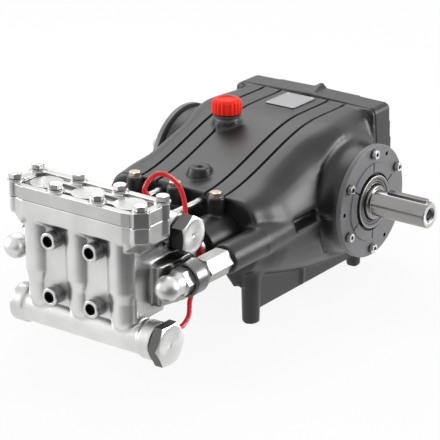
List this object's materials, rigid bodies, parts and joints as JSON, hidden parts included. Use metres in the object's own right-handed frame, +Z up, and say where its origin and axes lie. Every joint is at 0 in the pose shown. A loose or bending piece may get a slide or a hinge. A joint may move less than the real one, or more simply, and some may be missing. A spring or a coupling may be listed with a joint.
{
  "type": "high-pressure plunger pump",
  "caption": "Triplex plunger pump: cast crankcase with a keyed drive shaft, stainless fluid head with a bolted valve cover, tie rods and an inlet tube.",
  "frame": {"origin": "on the floor, at the centre of the four threaded holes under the feet", "axes": "+X along the crankshaft to the drive end, -Y towards the fluid head, +Z up"},
  "size_m": [0.4833, 0.66, 0.2904],
  "materials": {
    "crankcase_paint": "satin dark grey paint over a fine cast surface",
    "cast_stainless": "bead-blasted cast stainless",
    "turned_steel": "bright turned steel",
    "shaft_steel": "ground steel",
    "bright_zinc": "zinc-plated",
    "tan_zinc": "yellow passivated zinc",
    "ceramic": "polished ceramic",
    "red_cap": "moulded plastic",
    "red_hose": "smooth extruded plastic",
    "black_rubber": "moulded rubber",
    "grey_plastic": "moulded plastic",
    "plate_metal": "satin anodised",
    "sight_window": "clear window over oil"
  },
  "bodies": {
    "frame": {"crankcase": "crankcase_paint", "rear_cover": "crankcase_paint", "rear_cover_bolts": "bright_zinc", "sight_glass": "sight_window", "drain_plug": "bright_zinc", "drive_bearing_cover": "crankcase_paint", "drive_cover_bolts": "bright_zinc", "blind_bearing_cover": "crankcase_paint", "blind_cover_bolts": "bright_zinc", "shaft_seal": "black_rubber", "guide_left": "crankcase_paint", "guide_middle": "crankcase_paint", "guide_right": "crankcase_paint", "guide_bolts": "tan_zinc", "plunger_left": "ceramic", "plunger_middle": "ceramic", "plunger_right": "ceramic", "gland_left": "turned_steel", "gland_middle": "turned_steel", "gland_right": "turned_steel", "head_block": "cast_stainless", "valve_cover": "cast_stainless", "lid_bolts": "bright_zinc", "head_screws": "bright_zinc", "spacer_left": "turned_steel", "spacer_right": "turned_steel", "cap_nut_left": "turned_steel", "cap_nut_right": "turned_steel", "inlet_plug": "turned_steel", "outlet_plug": "turned_steel", "outlet_seat": "black_rubber", "flush_hose": "red_hose", "hose_fitting_top": "turned_steel", "hose_fitting_low": "turned_steel", "oil_cap": "red_cap", "oil_neck": "grey_plastic", "name_plate": "plate_metal"},
    "shaft": {"drive_shaft": "shaft_steel", "shaft_key": "shaft_steel"}
  },
  "joints": [
    {"name": "shaft_spin", "type": "hinge", "parent": "frame", "child": "shaft", "pos_m": [0.2, 0.081, 0.1437], "axis": [1, 0, 0], "continuous": true}
  ]
}
